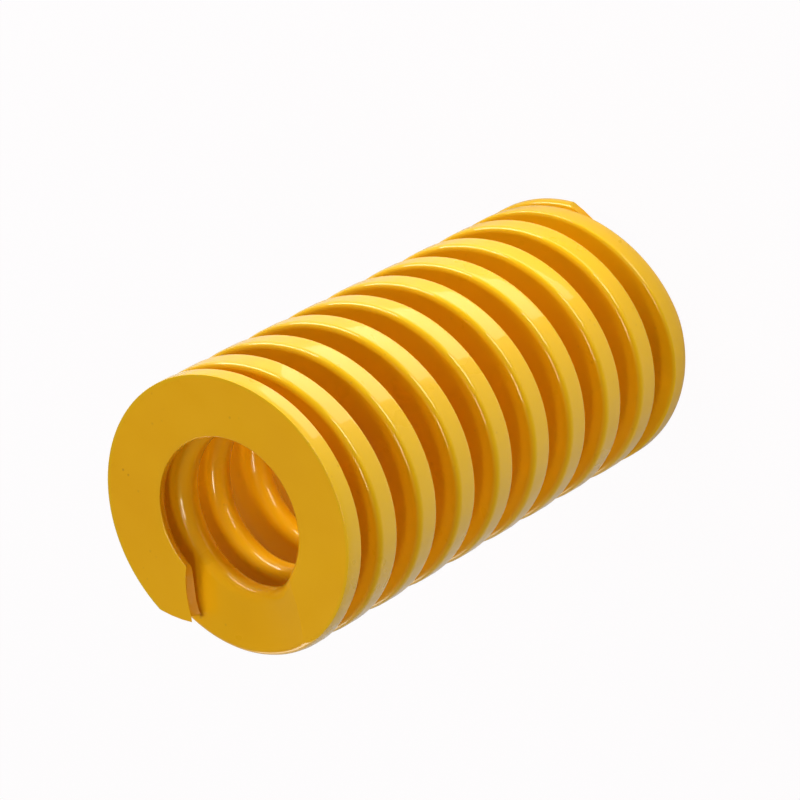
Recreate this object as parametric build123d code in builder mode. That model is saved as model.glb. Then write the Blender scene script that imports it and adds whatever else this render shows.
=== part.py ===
from build123d import *
from build123d.topology import SkipClean
from math import cos, radians, sin
import os

# Heavy-duty die spring: rectangular wire in a right-hand coil, with both ends closed,
# dished and ground flat. It stands on +Z, with its origin on the axis at the lower ground end.

# Driving dimensions of the coil (mm, degrees, turns)
free_length = 100.0  # from ground end to ground end, unloaded
outer_diameter = 49.6  # slides in a 50 mm pocket
bore_diameter = 25.6  # slides over a 25 mm guide rod
wire_height = 5.2  # size of the wire along the axis of the coil
land_corner = 1.1  # radius of the wire's corners at the outside
crest_flat = 0.3  # what is left flat between the wire's two corners at the bore
sizing_stock = 0.05  # on the coiled wire at the outside and the bore, taken off by sizing
wire_turns = 10.48  # from the lower tip to the upper tip
lower_tip_angle = 61.0  # where the lower tip points, anticlockwise from +X
section_step = 24.0  # angle between the sections that the wire is lofted through

# The closed ends, as angles round the coil from each tip
dead_thickness = 3.5  # what grinding leaves of the dead turn, away from its thinner tip
dead_angle = 240.0  # by where the dead turn has that thickness
settle_angle = 590.0  # where the kick has died out and the regular pitch begins
dish_angle = 9.0  # the dead turn leans this much, with its bore side deeper in the spring
dish_start = 35.0
dish_full = 200.0
dish_end = 290.0
nose_setback = 1.0  # the dead turn stands back from the bore, to lead the guide rod in
setback_start = 300.0  # from here on the wire grows to its full width
setback_end = 420.0

# Each end's tip thickness, and the kick that lifts the second turn over the tip: where it
# starts and ends, and the slit it leaves. The cut across the tip is oblique from the bore
# outwards, and its outer corner, inset from the outside, is bevelled.
lower_end = {"tip": 1.9, "kick_start": 276.0, "kick_end": 352.0, "slit": 0.20}
lower_cut = {"angle": 21.0, "bevel": 11.0, "inset": 2.0}
upper_end = {"tip": 2.4, "kick_start": 277.0, "kick_end": 326.0, "slit": 0.40}
upper_cut = {"angle": 21.0, "bevel": 16.0, "inset": 2.9}

nose_corner = (wire_height - crest_flat) / 2
outer_radius = outer_diameter / 2
bore_radius = bore_diameter / 2
wire_width = outer_radius - bore_radius + 2 * sizing_stock
coiled_radius = outer_radius + sizing_stock
total_angle = 360.0 * wire_turns
upper_tip_angle = lower_tip_angle + total_angle
dead_height = dead_thickness - wire_height / 2

# The regular pitch fills what the two dead turns leave of the free length
regular_angle = total_angle - lower_end["kick_start"] - upper_end["kick_start"]
pitch = 360.0 * (free_length - 2 * dead_height) / regular_angle


def ease(fraction):
    """Smooth step that leaves 0 and reaches 1 without a corner."""
    fraction = min(max(fraction, 0.0), 1.0)
    return fraction * fraction * (3 - 2 * fraction)


def wire_level(angle, end):
    """Height of the wire's outer middle over its ground end, at an angle from the tip."""
    tip_height = end["tip"] - wire_height / 2
    dead_climb = (dead_height - tip_height) * ease(angle / dead_angle)
    regular_climb = pitch * max(angle - end["kick_start"], 0.0) / 360.0
    cleared_height = tip_height + wire_height + end["slit"]
    regular_height = dead_height + pitch * (360.0 - end["kick_start"]) / 360.0
    kick_up = ease((angle - end["kick_start"]) / (end["kick_end"] - end["kick_start"]))
    kick_left = 1 - ease((angle - 360.0) / (settle_angle - 360.0))
    kick_climb = (cleared_height - regular_height) * kick_up * kick_left
    return tip_height + dead_climb + regular_climb + kick_climb


def dish(angle):
    """Lean of the wire's section at an angle from the tip."""
    lean_in = ease((angle - dish_start) / (dish_full - dish_start))
    lean_out = 1 - ease((angle - dish_end) / (settle_angle - dish_end))
    return dish_angle * lean_in * lean_out


def setback(angle):
    """How far the wire stands back from the bore at an angle from the tip."""
    return nose_setback * (1 - ease((angle - setback_start) / (setback_end - setback_start)))


def wire_place(angle):
    """Centre, lean and width of the wire's section, at an angle from the lower tip."""
    lower_half = angle < total_angle / 2
    from_tip = angle if lower_half else total_angle - angle
    lean = radians(dish(from_tip))
    width = wire_width - setback(from_tip)
    radius = coiled_radius - width / 2 * cos(lean)
    bearing = radians(lower_tip_angle + angle)
    if lower_half:
        height = wire_level(from_tip, lower_end) + width / 2 * sin(lean)
    else:
        height = free_length - wire_level(from_tip, upper_end) - width / 2 * sin(lean)
        lean = -lean
    return Vector(radius * cos(bearing), radius * sin(bearing), height), lean, width


def section_plane(angle):
    """Plane across the wire, with its x axis pointing outwards along the section."""
    centre, lean, width = wire_place(angle)
    along = (wire_place(angle + 1)[0] - wire_place(angle - 1)[0]).normalized()
    bearing = radians(lower_tip_angle + angle)
    outwards = Vector(cos(lean) * cos(bearing), cos(lean) * sin(bearing), -sin(lean))
    outwards = outwards - along * along.dot(outwards)
    return Plane(origin=centre, x_dir=outwards, z_dir=along)


def polar(radius, bearing):
    """Point at a radius and a bearing in degrees."""
    return radius * cos(radians(bearing)), radius * sin(radians(bearing))


# Cleaning is left out throughout: it is slow on the long faces of the wire
with SkipClean():
    # What sizing, grinding and the tip cuts leave: a true tube, nicked at each tip
    with BuildPart() as envelope:
        with BuildSketch():
            Circle(outer_radius)
        extrude(amount=free_length)
        with BuildSketch():
            Circle(bore_radius)
        extrude(amount=free_length, mode=Mode.SUBTRACT)

        # The cut across each tip, clear of the turn that passes behind it
        for tip_angle, turn, floor, up, end, cut in (
            (lower_tip_angle, 1, 0.0, 1, lower_end, lower_cut),
            (upper_tip_angle, -1, free_length, -1, upper_end, upper_cut),
        ):
            depth = end["tip"] + end["slit"] / 2
            with BuildSketch(Plane.XY.offset(floor + up * depth)):
                with BuildLine():
                    Polyline(
                        polar(bore_radius - 1, tip_angle + turn * cut["angle"]),
                        polar(outer_radius - cut["inset"], tip_angle),
                        polar(outer_radius + 1, tip_angle + turn * cut["bevel"]),
                        polar(outer_radius + 8, tip_angle),
                        polar(outer_radius, tip_angle - turn * 8),
                        polar(bore_radius - 3, tip_angle - turn * 8),
                        close=True,
                    )
                make_face()
            extrude(amount=-up * 2 * wire_height, mode=Mode.SUBTRACT)

    with BuildPart() as die_spring:
        # The coiled wire: one section after another from the lower tip to the upper tip
        sections = round(total_angle / section_step)
        for index in range(sections + 1):
            angle = total_angle * index / sections
            with BuildSketch(section_plane(angle)) as wire_section:
                Rectangle(wire_place(angle)[2], wire_height)
                fillet(wire_section.vertices().group_by(Axis.X)[-1], land_corner)
                fillet(wire_section.vertices().group_by(Axis.X)[0], nose_corner)
        loft()
        add(envelope.part, mode=Mode.INTERSECT, clean=False)

die_spring.part.label = "die_spring"

os.makedirs("parts", exist_ok=True)
export_step(die_spring.part, "parts/die_spring.step")
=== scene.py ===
import bpy
import math
import numpy as np
from mathutils import Matrix, Vector


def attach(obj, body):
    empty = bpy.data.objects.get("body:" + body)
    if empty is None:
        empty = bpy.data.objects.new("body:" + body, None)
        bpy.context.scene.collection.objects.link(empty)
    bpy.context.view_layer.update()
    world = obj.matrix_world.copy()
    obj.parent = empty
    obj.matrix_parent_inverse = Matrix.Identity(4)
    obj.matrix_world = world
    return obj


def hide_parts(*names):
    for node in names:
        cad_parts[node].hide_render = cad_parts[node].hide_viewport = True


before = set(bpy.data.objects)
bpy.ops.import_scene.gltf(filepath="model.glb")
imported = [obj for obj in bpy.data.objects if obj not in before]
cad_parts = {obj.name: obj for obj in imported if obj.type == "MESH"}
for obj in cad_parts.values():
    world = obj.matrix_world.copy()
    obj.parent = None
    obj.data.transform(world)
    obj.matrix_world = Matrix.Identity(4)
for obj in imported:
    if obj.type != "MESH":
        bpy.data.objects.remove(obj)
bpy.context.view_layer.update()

# --- Coil -------------------------------------------------------------------------------
# One length of flattened spring wire, wound right-hand on a mandrel. Its end turns are closed
# and dished, their faces ground square to the axis, and the whole coil is enamelled.

free_length = 100.0  # mm, from ground end to ground end
outer_radius = 24.8
bore_radius = 12.8
wire_height = 5.2  # the wire's size along the axis
land_corner = 1.1
nose_corner = 2.45
wire_turns = 10.48
lower_tip_angle = 61.0  # degrees, anticlockwise from +X
dead_thickness = 3.5  # what grinding leaves of the dead turn, away from its thinner tip
dead_angle, settle_angle = 240.0, 590.0  # from the tip
dish_angle, dish_start, dish_full, dish_end = 9.0, 35.0, 200.0, 290.0
nose_setback, setback_start, setback_end = 1.0, 300.0, 420.0
lower_end = {"tip": 1.9, "kick_start": 276.0, "kick_end": 352.0, "slit": 0.20}
upper_end = {"tip": 2.4, "kick_start": 277.0, "kick_end": 326.0, "slit": 0.40}
lower_cut = {"angle": 21.0, "bevel": 11.0, "inset": 2.0}
upper_cut = {"angle": 21.0, "bevel": 16.0, "inset": 2.9}
edge_round = 0.10  # softness that the enamel gives to the ground edges
face_fade = 60.0  # degrees over which the mesh's face rows part again past the ground face
cut_fade = 70.0  # degrees over which the cut's shift of the rows dies away from the tip
law_margin = 30.0  # degrees past the settling of an end turn that its fine stations reach
sharp_angle = 50.0  # degrees between faces from which an edge is shaded sharp
just_past = 0.01  # part of a row, to read the outline beyond an edge and not on it

wire_width = outer_radius - bore_radius
total_angle = 360.0 * wire_turns
dead_height = dead_thickness - wire_height / 2
regular_angle = total_angle - lower_end["kick_start"] - upper_end["kick_start"]
pitch = 360.0 * (free_length - 2 * dead_height) / regular_angle


def ease(fraction):
    """Smooth step: 3f squared less 2f cubed, with f held between 0 and 1."""
    fraction = np.clip(fraction, 0.0, 1.0)
    return fraction * fraction * (3 - 2 * fraction)


def wire_level(angle, end):
    """Height of the wire's outer middle over its ground end: a small eased rise over the dead
    turn, the regular pitch from where the kick starts, and the kick that clears the tip."""
    tip_height = end["tip"] - wire_height / 2
    dead_climb = (dead_height - tip_height) * ease(angle / dead_angle)
    regular_climb = pitch * np.maximum(angle - end["kick_start"], 0.0) / 360.0
    cleared_height = tip_height + wire_height + end["slit"]
    regular_height = dead_height + pitch * (360.0 - end["kick_start"]) / 360.0
    kick_up = ease((angle - end["kick_start"]) / (end["kick_end"] - end["kick_start"]))
    kick_left = 1 - ease((angle - 360.0) / (settle_angle - 360.0))
    kick_climb = (cleared_height - regular_height) * kick_up * kick_left
    return tip_height + dead_climb + regular_climb + kick_climb


def dish(angle):
    """Lean of the section in radians: eased in over the dead turn and out over the second."""
    lean_in = ease((angle - dish_start) / (dish_full - dish_start))
    lean_out = 1 - ease((angle - dish_end) / (settle_angle - dish_end))
    return np.radians(dish_angle) * lean_in * lean_out


half_flat = (wire_width - land_corner - nose_corner) / 2
half_land = wire_height / 2 - land_corner
half_crest = wire_height / 2 - nose_corner
# The outline of the section, in parts and the rows of the mesh along each: half the top flank,
# land corner, land, land corner, bottom flank, nose corner, crest, nose corner, half the top flank
outline_rows = np.array([7, 6, 3, 6, 14, 8, 1, 8, 7])
row_stops = np.concatenate(([0], np.cumsum(outline_rows)))
row_count = row_stops[-1]
flank_row = row_stops[1]  # where the top flank ends at the land; it ends at the nose at minus this
far_flank_row = row_stops[4]  # where the bottom flank begins at the land
nose_flank_row = row_stops[5] - row_count  # where the bottom flank ends at the nose
middle_row = (row_stops[4] + row_stops[5]) / 2


def section(row):
    """The wire's section as (outwards, upwards) from its middle, for a row of its outline: a
    rectangle with one corner radius at the land and a larger one at the nose. Each straight
    part runs evenly along its rows, and each corner turns a quarter circle over its rows."""
    row = np.mod(row, row_count)
    part = np.clip(np.searchsorted(row_stops, row, side="right") - 1, 0, 8)
    share = (row - row_stops[part]) / outline_rows[part]
    turn = share * np.pi / 2
    land_x = wire_width / 2 - land_corner
    nose_x = nose_corner - wire_width / 2
    middle_x = (land_x + nose_x) / 2
    across = np.choose(part, [
        middle_x + share * half_flat,
        land_x + land_corner * np.sin(turn),
        wire_width / 2 + 0 * share,
        land_x + land_corner * np.cos(turn),
        land_x - share * 2 * half_flat,
        nose_x - nose_corner * np.sin(turn),
        -wire_width / 2 + 0 * share,
        nose_x - nose_corner * np.cos(turn),
        nose_x + share * half_flat,
    ])
    upward = np.choose(part, [
        wire_height / 2 + 0 * share,
        half_land + land_corner * np.cos(turn),
        half_land - share * 2 * half_land,
        -half_land - land_corner * np.sin(turn),
        -wire_height / 2 + 0 * share,
        -half_crest - nose_corner * np.cos(turn),
        -half_crest + share * 2 * half_crest,
        half_crest + nose_corner * np.sin(turn),
        wire_height / 2 + 0 * share,
    ])
    return across, upward


def end_point(angle, row, end):
    """Radius, and depth under the ground face, of a point of an end turn: the section is
    narrowed by the setback of its nose, leans about the middle of its land by the dish and lies
    at the wire's level. Its top flank is the one that faces the ground end."""
    lean = dish(angle)
    across, upward = section(row)
    setback = nose_setback * (1 - ease((angle - setback_start) / (setback_end - setback_start)))
    inward = (wire_width / 2 - across) * (1 - setback / wire_width)
    radius = outer_radius - inward * np.cos(lean) - upward * np.sin(lean)
    depth = wire_level(angle, end) + inward * np.sin(lean) - upward * np.cos(lean)
    return radius, depth


def tip_start(radius, cut):
    """Angle at which the cut tip begins at a radius: a straight line from the bore to the
    corner, and a straight bevel from the corner to the outside."""
    corner = outer_radius - cut["inset"]
    oblique = np.interp(radius, [bore_radius, corner], [cut["angle"], 0.0])
    return oblique + np.interp(radius, [corner, outer_radius], [0.0, cut["bevel"]])


def face_rows(angle, end):
    """Outermost and innermost row of the ground face at each angle, and whether the wire is
    ground there. The rows are where the outline of the section passes the ground plane on its
    way out and on its way in, found by a sweep from the highest row and a straight line between
    its steps. Past the end of the face the two rows part again, eased, to the flank's edges."""
    sweep_steps, least_drop = 1200, -1e-9
    highest = flank_row + outline_rows[1] * dish(angle) / (np.pi / 2)
    sweep = np.linspace(0, 1, sweep_steps)
    rows = []
    for goal in (far_flank_row, nose_flank_row):
        path = highest[:, None] + (goal - highest[:, None]) * sweep
        depth = end_point(angle[:, None], path, end)[1]
        last = np.clip((depth < 0).sum(axis=1) - 1, 0, len(sweep) - 2)
        here = np.arange(len(angle))
        before, after = depth[here, last], depth[here, last + 1]
        share = np.clip(before / np.minimum(before - after, least_drop), 0, 1)
        rows.append(path[here, last] + share * (path[here, last + 1] - path[here, last]))
    ground = end_point(angle, highest, end)[1] < 0
    face_end = angle[ground].max()
    parted = ease((angle - face_end) / face_fade)
    outermost = np.where(ground, rows[0], highest + (flank_row - highest) * parted)
    innermost = np.where(ground, rows[1], highest - (highest + flank_row) * parted)
    least = highest * (1 - parted) + parted * flank_row
    return np.maximum(outermost, least), innermost, ground


part_lengths = np.array([
    half_flat, land_corner * np.pi / 2, 2 * half_land, land_corner * np.pi / 2, 2 * half_flat,
    nose_corner * np.pi / 2, 2 * half_crest, nose_corner * np.pi / 2, half_flat,
])


def rows_in(distance, row):
    """Number of rows that a distance in mm takes at a row of the outline."""
    part = np.searchsorted(row_stops, np.mod(row, row_count), side="right") - 1
    return distance * (outline_rows / part_lengths)[np.clip(part, 0, 8)]


def end_grid(angle, end, cut):
    """Radius, depth, angle and face share of an end turn's grid. The rows of the flank span the
    ground face and lie in its plane, and the rows beyond run from its edges round the rest of
    the section. The edge rows are drawn in between their neighbours, which rounds the edge.
    The cut across the tip shifts each point round the coil by where the tip starts at its
    radius."""
    row = np.arange(row_count) - row_count // 2
    angle = angle[:, None]
    outermost, innermost, ground = (value[:, None] for value in face_rows(angle[:, 0], end))
    edge_radius = [end_point(angle, edge, end)[0] for edge in (innermost, outermost)]
    strip = np.maximum(edge_radius[1] - edge_radius[0], 4 * edge_round)
    even = np.clip((1 + row / flank_row) / 2, 0, 1)
    inner_share = np.clip((row + flank_row - 1) / (2 * flank_row - 2), 0, 1)
    level_share = edge_round / strip + (1 - 2 * edge_round / strip) * inner_share
    level_share = np.where(even == 0, 0.0, np.where(even == 1, 1.0, level_share))
    level_radius = edge_radius[0] + (edge_radius[1] - edge_radius[0]) * level_share

    first_out = outermost + np.where(ground, rows_in(edge_round, outermost + just_past), 1.0)
    first_in = innermost - np.where(ground, rows_in(edge_round, innermost - just_past), 1.0)
    out_share = (row - flank_row - 1) / (far_flank_row - flank_row - 1)
    in_share = (row + flank_row + 1) / (nose_flank_row + flank_row + 1)
    moved = innermost + (outermost - innermost) * even
    moved = np.where(row > flank_row, first_out + (far_flank_row - first_out) * out_share, moved)
    moved = np.where(row < -flank_row, first_in + (nose_flank_row - first_in) * in_share, moved)
    moved = np.where((row > far_flank_row) | (row < nose_flank_row), row, moved)

    on_face = ground & (np.abs(row) <= flank_row)
    upright_radius = outer_radius - wire_width / 2 + section(moved)[0]
    raw_radius = np.where(on_face, level_radius, upright_radius)
    turned = angle + tip_start(raw_radius, cut) * (1 - ease(angle / cut_fade))
    radius, depth = end_point(turned, moved, end)
    radius = np.minimum(np.where(on_face, level_radius, radius), outer_radius)
    depth = np.where(on_face, 0.0, np.maximum(depth, 0.0))
    for edge in (-flank_row, flank_row):
        at = edge + row_count // 2
        for value in (radius, depth):
            rounded = value[:, at] / 2 + (value[:, at - 1] + value[:, at + 1]) / 4
            value[:, at] = np.where(ground[:, 0], rounded, value[:, at])
    return radius, depth, turned, on_face.astype(float)


middle_angle = total_angle / 2
settled_angle = settle_angle + law_margin
fine_step, coarse_step = 2.0, 4.0
fine = np.arange(0.0, settled_angle, fine_step)
coarse_count = round((middle_angle - settled_angle) / coarse_step)
coarse = np.linspace(settled_angle, middle_angle, coarse_count)
from_tip = np.concatenate((fine, coarse))
lower = end_grid(from_tip, lower_end, lower_cut)
upper = end_grid(from_tip, upper_end, upper_cut)

# The upper end keeps its rows; the lower end is the same law turned over, top flank for bottom
rows = np.arange(row_count)
keep = np.mod(rows + row_count // 2, row_count)
turn_over = np.mod(int(middle_row) - rows + row_count // 2, row_count)
radius = np.concatenate((lower[0][:, turn_over], upper[0][::-1][1:, keep]))
height = np.concatenate((lower[1][:, turn_over], free_length - upper[1][::-1][1:, keep]))
angle = np.concatenate((lower[2][:, turn_over], total_angle - upper[2][::-1][1:, keep]))
is_face = np.concatenate((lower[3][:, turn_over], upper[3][::-1][1:, keep]))
bearing = np.radians(lower_tip_angle + angle)
coil_points = np.stack((radius * np.cos(bearing), radius * np.sin(bearing), height), axis=-1)
coil_points = coil_points / 1000.0  # metres

coil_mesh = bpy.data.meshes.new("coil")
stations = len(coil_points)
corner = np.arange(stations * row_count).reshape(stations, row_count)
ahead = np.roll(corner, -1, axis=1)
skin = np.stack((corner[:-1], corner[1:], ahead[1:], ahead[:-1]), axis=-1).reshape(-1, 4)


def tip_caps(ring, radius, cut):
    """The two flat faces that close a cut tip, as lists of corners: the cut, inside the radius of
    its outer corner, and the bevel, outside it. Each takes its run of the ring on both flanks."""
    inside = radius < outer_radius - cut["inset"]
    first = int(np.argmax(inside & ~np.roll(inside, 1)))
    order = np.roll(ring, -first)
    count = int(inside.sum())
    return order[:count].tolist(), np.concatenate((order[count - 1:], order[:1])).tolist()


lower_caps = tip_caps(corner[0], radius[0], lower_cut)
upper_caps = tip_caps(corner[-1], radius[-1], upper_cut)
caps = [cap[::-1] for cap in lower_caps] + list(upper_caps)
coil_mesh.from_pydata(coil_points.reshape(-1, 3).tolist(), [], skin.tolist() + caps)
coil_mesh.validate()
layer = coil_mesh.attributes.new("ground_face", "FLOAT", "POINT")
layer.data.foreach_set("value", np.ascontiguousarray(is_face, dtype=np.float32).ravel())
coil_mesh.shade_smooth()
coil_mesh.set_sharp_from_angle(angle=math.radians(sharp_angle))
coil = bpy.data.objects.new("coil", coil_mesh)
bpy.context.collection.objects.link(coil)
even_shading = coil.modifiers.new("even_shading", "WEIGHTED_NORMAL")
even_shading.keep_sharp = True
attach(coil, "root")
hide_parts("die_spring")


def new_material(name):
    """An empty node material with its output, and a maker of nodes in it."""
    material = bpy.data.materials.new(name)
    material.use_nodes = True
    material.node_tree.nodes.clear()

    def node(kind, **settings):
        made = material.node_tree.nodes.new("ShaderNode" + kind)
        for key, value in settings.items():
            if key in made.inputs:
                made.inputs[key].default_value = value
            else:
                setattr(made, key, value)
        return made

    return material, node, material.node_tree.links.new


enamel, node, join = new_material("amber_enamel")
output = node("OutputMaterial")
shader = node("BsdfPrincipled")
shader.inputs["Specular Tint"].default_value = (1.0, 0.9, 0.2, 1)
shader.inputs["Coat Weight"].default_value = 0.6
shader.inputs["Coat Roughness"].default_value = 0.03
shader.inputs["IOR"].default_value = 1.45
place = node("TexCoord")
face = node("Attribute", attribute_name="ground_face")


def ramp(source, low, high, start, end):
    """A socket that goes from one value to another while the source goes from low to high."""
    step = node("MapRange")
    join(source, step.inputs["Value"])
    step.inputs["From Min"].default_value, step.inputs["From Max"].default_value = low, high
    step.inputs["To Min"].default_value, step.inputs["To Max"].default_value = start, end
    return step.outputs["Result"]


def mottle(scale, detail):
    """A cloudy pattern on the coil's own coordinates, about 0.5 on average."""
    cloud = node("TexNoise")
    join(place.outputs["Object"], cloud.inputs["Vector"])
    cloud.inputs["Scale"].default_value = scale
    cloud.inputs["Detail"].default_value = detail
    return cloud.outputs["Fac"]


def combine(operation, first, second):
    """The result of one sum on two sockets, or on a socket and a number."""
    step = node("Math", operation=operation)
    join(first, step.inputs[0])
    if isinstance(second, float):
        step.inputs[1].default_value = second
    else:
        join(second, step.inputs[1])
    return step.outputs[0]


# The enamel is a little uneven: deeper amber where it is thick, paler where it has run thin.
thick_amber = (0.90, 0.425, 0.002, 1)
thin_amber = (0.95, 0.475, 0.003, 1)
# The land colour is a painted highlight: the pale yellow of lit lands put into the base colour.
lit_land_amber = (0.86, 0.49, 0.003, 1)
speck_brown = (0.55, 0.24, 0.01, 1)
thickness = mottle(55.0, 3.0)
tone = node("ValToRGB")
tone.color_ramp.elements[0].position = 0.30
tone.color_ramp.elements[0].color = thick_amber
tone.color_ramp.elements[1].position = 0.72
tone.color_ramp.elements[1].color = thin_amber
join(thickness, tone.inputs["Fac"])

# Pin-sized dull specks, mostly where the coat lies on the ground faces.
specks = node("TexVoronoi")
join(place.outputs["Object"], specks.inputs["Vector"])
specks.inputs["Scale"].default_value = 520.0
near_speck = ramp(specks.outputs["Distance"], 0.06, 0.17, 1.0, 0.0)
patchy = ramp(mottle(90.0, 2.0), 0.52, 0.62, 0.0, 1.0)
strength = ramp(face.outputs["Fac"], 0.0, 1.0, 0.25, 0.7)
speck_share = combine("MULTIPLY", combine("MULTIPLY", near_speck, patchy), strength)

# On the lands, which are further from the axis than the flanks, the colour is paler and more
# yellow: painted light, standing in for the light that falls on the lands.
land_begins, land_full = 0.0240, 0.0247  # metres from the axis
painted_land_light = node("Mix", data_type="RGBA")
radius_across = node("VectorMath", operation="MULTIPLY")
join(place.outputs["Object"], radius_across.inputs[0])
radius_across.inputs[1].default_value = (1, 1, 0)
across = node("VectorMath", operation="LENGTH")
join(radius_across.outputs["Vector"], across.inputs[0])
join(ramp(across.outputs["Value"], land_begins, land_full, 0.0, 1.0), painted_land_light.inputs["Factor"])
join(tone.outputs["Color"], painted_land_light.inputs["A"])
painted_land_light.inputs["B"].default_value = lit_land_amber
speckled = node("Mix", data_type="RGBA")
join(speck_share, speckled.inputs["Factor"])
join(painted_land_light.outputs["Result"], speckled.inputs["A"])
speckled.inputs["B"].default_value = speck_brown
join(speckled.outputs["Result"], shader.inputs["Base Color"])

# The gloss varies softly, and the ground faces are duller than the rest.
gloss = ramp(mottle(160.0, 2.0), 0.3, 0.7, 0.26, 0.42)
duller = ramp(face.outputs["Fac"], 0.0, 1.0, 0.0, 0.12)
join(combine("ADD", gloss, duller), shader.inputs["Roughness"])

# Orange peel and slow waves over the whole coat, and a small dent at each speck.
relief_depth = 0.00006  # metres
peel = combine("MULTIPLY", mottle(700.0, 1.0), 0.35)
waves = combine("ADD", mottle(130.0, 2.0), peel)
relief = node("Bump")
relief.inputs["Strength"].default_value = 0.5
relief.inputs["Distance"].default_value = relief_depth
dents = combine("MULTIPLY", speck_share, 0.5)
join(combine("SUBTRACT", waves, dents), relief.inputs["Height"])
join(relief.outputs["Normal"], shader.inputs["Normal"])
join(relief.outputs["Normal"], shader.inputs["Coat Normal"])
join(shader.outputs["BSDF"], output.inputs["Surface"])
coil_mesh.materials.append(enamel)

# --- Floor ------------------------------------------------------------------------------
# A plain pale table top under the lower ground end. It takes the coil's soft shadow, and the
# camera sees it near white.

floor_mesh = bpy.data.meshes.new("floor")
reach = 3.0  # metres each way
floor_level = -0.0002  # just clear of the ground end
camera_white = 0.97  # share of the paper that the camera sees as lit, and not shadowed
sides = ((-reach, -reach), (reach, -reach), (reach, reach), (-reach, reach))
floor_mesh.from_pydata([(x, y, floor_level) for x, y in sides], [], [(0, 1, 2, 3)])
floor = bpy.data.objects.new("floor", floor_mesh)
bpy.context.collection.objects.link(floor)
paper, node, join = new_material("pale_paper")
output = node("OutputMaterial")
matt = node("BsdfDiffuse", Color=(0.8, 0.8, 0.8, 1))
lit = node("Emission", Color=(1.0, 0.985, 0.99, 1), Strength=1.0)
path = node("LightPath")
share = node("Math", operation="MULTIPLY")
share.inputs[1].default_value = camera_white
mix = node("MixShader")
join(path.outputs["Is Camera Ray"], share.inputs[0])
join(share.outputs[0], mix.inputs["Fac"])
join(matt.outputs["BSDF"], mix.inputs[1])
join(lit.outputs["Emission"], mix.inputs[2])
join(mix.outputs[0], output.inputs["Surface"])
floor_mesh.materials.append(paper)

# --- Light and camera -------------------------------------------------------------------
# Soft boxes round the coil and a dim white sky; the camera looks down on the upper ground end and
# is rolled, so that the standing coil lies across the picture.

world = bpy.data.worlds.new("studio")
bpy.context.scene.world = world
world.use_nodes = True
sky = world.node_tree.nodes["Background"]
sky.inputs["Color"].default_value = (1, 1, 1, 1)
sky.inputs["Strength"].default_value = 0.12

middle = Vector((0.0, 0.0, free_length / 2000))


def direction(azimuth, elevation):
    """A unit vector at an azimuth and an elevation in degrees."""
    turn, rise = math.radians(azimuth), math.radians(elevation)
    level_part = math.cos(rise)
    return Vector((math.cos(turn) * level_part, math.sin(turn) * level_part, math.sin(rise)))


def area_lamp(name, width, height, power):
    """A rectangular lamp of a size in metres and a power in watts, at the origin."""
    lamp = bpy.data.lights.new(name, "AREA")
    lamp.shape = "RECTANGLE"
    lamp.size, lamp.size_y = width, height
    lamp.energy = power
    holder = bpy.data.objects.new(name, lamp)
    bpy.context.collection.objects.link(holder)
    return holder


def soft_box(name, azimuth, elevation, distance, width, height, power):
    """A lamp that faces the coil's middle from an azimuth and an elevation in degrees and a
    distance in metres."""
    holder = area_lamp(name, width, height, power)
    towards = direction(azimuth, elevation)
    holder.location = middle + towards * distance
    holder.rotation_euler = (-towards).to_track_quat("-Z", "Y").to_euler()


soft_box("overhead", 104, 9, 0.42, 0.34, 0.10, 1.40)
soft_box("side", 28, -1, 0.42, 0.20, 0.08, 0.66)
soft_box("top", 210, 86, 0.9, 0.36, 0.36, 2.75)
soft_box("bore_light", -24, 66, 0.9, 0.24, 0.10, 1.3)
soft_box("far_side", 235, 12, 1.0, 0.5, 0.3, 2.0)

# A low soft box lies flat beside the coil and shines up along its lands.
low_box = area_lamp("low", 0.09, 0.09, 0.05)
low_box.location = (0.0395, 0.0880, 0.002)
low_box.rotation_euler = (math.pi, 0, math.radians(41))
low_box.visible_camera = False

camera_distance = 0.7526
camera_azimuth, camera_elevation, camera_roll = 19.12, 48.23, 118.44
target = Vector((-0.00065, 0.00356, 0.04951))
back = direction(camera_azimuth, camera_elevation)
camera_data = bpy.data.cameras.new("camera")
camera_data.lens = 198.4
camera_data.sensor_width = 36
camera = bpy.data.objects.new("camera", camera_data)
bpy.context.collection.objects.link(camera)
camera.location = target + back * camera_distance
level = (-back).to_track_quat("-Z", "Y").to_matrix().to_4x4()
camera.rotation_euler = (level @ Matrix.Rotation(-math.radians(camera_roll), 4, "Z")).to_euler()
bpy.context.scene.camera = camera
bpy.context.scene.view_settings.view_transform = "Standard"
